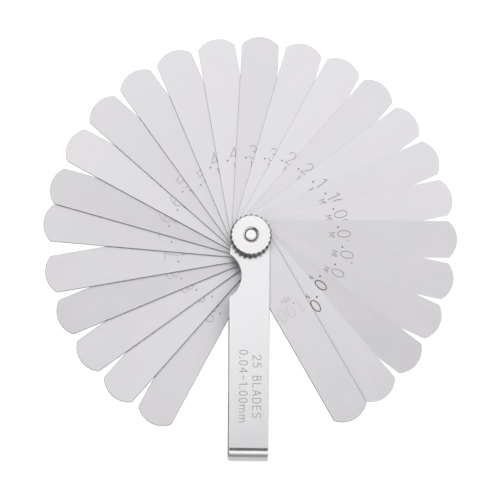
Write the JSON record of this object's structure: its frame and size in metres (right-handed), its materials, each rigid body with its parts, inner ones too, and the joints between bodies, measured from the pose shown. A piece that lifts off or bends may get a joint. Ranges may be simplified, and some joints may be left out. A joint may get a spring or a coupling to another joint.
{
  "type": "feeler gauge",
  "caption": "Fan of thin steel measuring blades on one stud, in a folded steel holder with a knurled clamping nut.",
  "frame": {"origin": "on the stud's axis, at the underside of the stud's flush head in the back leaf", "axes": "+Z along the stud towards the knurled nut, -Y along the holder to its folded tail, +X to the right seen from the nut"},
  "size_m": [0.1408, 0.1456, 0.0182],
  "materials": {
    "holder_steel": "satin, faint long grain",
    "stud_steel": "turned, peened end",
    "nut_steel": "bright plated, straight knurl",
    "blade_steel": "ground, fine grain along the blade"
  },
  "bodies": {
    "holder": {"holder": "holder_steel", "pivot_stud": "stud_steel"},
    "nut": {"knurled_nut": "nut_steel"},
    "blade_095": {"blade_095": "blade_steel"},
    "blade_090": {"blade_090": "blade_steel"},
    "blade_085": {"blade_085": "blade_steel"},
    "blade_080": {"blade_080": "blade_steel"},
    "blade_075": {"blade_075": "blade_steel"},
    "blade_070": {"blade_070": "blade_steel"},
    "blade_065": {"blade_065": "blade_steel"},
    "blade_060": {"blade_060": "blade_steel"},
    "blade_055": {"blade_055": "blade_steel"},
    "blade_050": {"blade_050": "blade_steel"},
    "blade_045": {"blade_045": "blade_steel"},
    "blade_040": {"blade_040": "blade_steel"},
    "blade_035": {"blade_035": "blade_steel"},
    "blade_030": {"blade_030": "blade_steel"},
    "blade_025": {"blade_025": "blade_steel"},
    "blade_020": {"blade_020": "blade_steel"},
    "blade_015": {"blade_015": "blade_steel"},
    "blade_010": {"blade_010": "blade_steel"},
    "blade_009": {"blade_009": "blade_steel"},
    "blade_008": {"blade_008": "blade_steel"},
    "blade_007": {"blade_007": "blade_steel"},
    "blade_006": {"blade_006": "blade_steel"},
    "blade_005": {"blade_005": "blade_steel"},
    "blade_004": {"blade_004": "blade_steel"},
    "blade_100": {"blade_100": "blade_steel"}
  },
  "joints": [
    {"name": "nut_turn", "type": "hinge", "parent": "holder", "child": "nut", "pos_m": [0, 0, 0.0157], "axis": [0, 0, 1], "range_deg": [0, 180]},
    {"name": "blade_095_swing", "type": "hinge", "parent": "holder", "child": "blade_095", "pos_m": [0, 0, 0.00149], "axis": [0, 0, 1], "range_deg": [-332.3, 27.7]},
    {"name": "blade_090_swing", "type": "hinge", "parent": "holder", "child": "blade_090", "pos_m": [0, 0, 0.00242], "axis": [0, 0, 1], "range_deg": [-319.4, 40.6]},
    {"name": "blade_085_swing", "type": "hinge", "parent": "holder", "child": "blade_085", "pos_m": [0, 0, 0.00331], "axis": [0, 0, 1], "range_deg": [-306.5, 53.5]},
    {"name": "blade_080_swing", "type": "hinge", "parent": "holder", "child": "blade_080", "pos_m": [0, 0, 0.00415], "axis": [0, 0, 1], "range_deg": [-293.6, 66.4]},
    {"name": "blade_075_swing", "type": "hinge", "parent": "holder", "child": "blade_075", "pos_m": [0, 0, 0.00494], "axis": [0, 0, 1], "range_deg": [-280.7, 79.3]},
    {"name": "blade_070_swing", "type": "hinge", "parent": "holder", "child": "blade_070", "pos_m": [0, 0, 0.00567], "axis": [0, 0, 1], "range_deg": [-265.8, 94.2]},
    {"name": "blade_065_swing", "type": "hinge", "parent": "holder", "child": "blade_065", "pos_m": [0, 0, 0.00636], "axis": [0, 0, 1], "range_deg": [-254.9, 105.1]},
    {"name": "blade_060_swing", "type": "hinge", "parent": "holder", "child": "blade_060", "pos_m": [0, 0, 0.007], "axis": [0, 0, 1], "range_deg": [-242, 118]},
    {"name": "blade_055_swing", "type": "hinge", "parent": "holder", "child": "blade_055", "pos_m": [0, 0, 0.00758], "axis": [0, 0, 1], "range_deg": [-229.1, 130.9]},
    {"name": "blade_050_swing", "type": "hinge", "parent": "holder", "child": "blade_050", "pos_m": [0, 0, 0.00812], "axis": [0, 0, 1], "range_deg": [-216.2, 143.8]},
    {"name": "blade_045_swing", "type": "hinge", "parent": "holder", "child": "blade_045", "pos_m": [0, 0, 0.00861], "axis": [0, 0, 1], "range_deg": [-203.3, 156.7]},
    {"name": "blade_040_swing", "type": "hinge", "parent": "holder", "child": "blade_040", "pos_m": [0, 0, 0.00904], "axis": [0, 0, 1], "range_deg": [-190.4, 169.6]},
    {"name": "blade_035_swing", "type": "hinge", "parent": "holder", "child": "blade_035", "pos_m": [0, 0, 0.00943], "axis": [0, 0, 1], "range_deg": [-177.5, 182.5]},
    {"name": "blade_030_swing", "type": "hinge", "parent": "holder", "child": "blade_030", "pos_m": [0, 0, 0.00977], "axis": [0, 0, 1], "range_deg": [-164.6, 195.4]},
    {"name": "blade_025_swing", "type": "hinge", "parent": "holder", "child": "blade_025", "pos_m": [0, 0, 0.01005], "axis": [0, 0, 1], "range_deg": [-152.25, 207.75]},
    {"name": "blade_020_swing", "type": "hinge", "parent": "holder", "child": "blade_020", "pos_m": [0, 0, 0.01029], "axis": [0, 0, 1], "range_deg": [-139.9, 220.1]},
    {"name": "blade_015_swing", "type": "hinge", "parent": "holder", "child": "blade_015", "pos_m": [0, 0, 0.01048], "axis": [0, 0, 1], "range_deg": [-127.55, 232.45]},
    {"name": "blade_010_swing", "type": "hinge", "parent": "holder", "child": "blade_010", "pos_m": [0, 0, 0.01062], "axis": [0, 0, 1], "range_deg": [-115.2, 244.8]},
    {"name": "blade_009_swing", "type": "hinge", "parent": "holder", "child": "blade_009", "pos_m": [0, 0, 0.01072], "axis": [0, 0, 1], "range_deg": [-102.85, 257.15]},
    {"name": "blade_008_swing", "type": "hinge", "parent": "holder", "child": "blade_008", "pos_m": [0, 0, 0.01082], "axis": [0, 0, 1], "range_deg": [-90.5, 269.5]},
    {"name": "blade_007_swing", "type": "hinge", "parent": "holder", "child": "blade_007", "pos_m": [0, 0, 0.01091], "axis": [0, 0, 1], "range_deg": [-78.15, 281.85]},
    {"name": "blade_006_swing", "type": "hinge", "parent": "holder", "child": "blade_006", "pos_m": [0, 0, 0.01098], "axis": [0, 0, 1], "range_deg": [-65.8, 294.2]},
    {"name": "blade_005_swing", "type": "hinge", "parent": "holder", "child": "blade_005", "pos_m": [0, 0, 0.01105], "axis": [0, 0, 1], "range_deg": [-53.45, 306.55]},
    {"name": "blade_004_swing", "type": "hinge", "parent": "holder", "child": "blade_004", "pos_m": [0, 0, 0.01111], "axis": [0, 0, 1], "range_deg": [-41.1, 318.9]},
    {"name": "blade_100_swing", "type": "hinge", "parent": "holder", "child": "blade_100", "pos_m": [0, 0, 0.01164], "axis": [0, 0, 1], "range_deg": [-30.2, 329.8]}
  ]
}
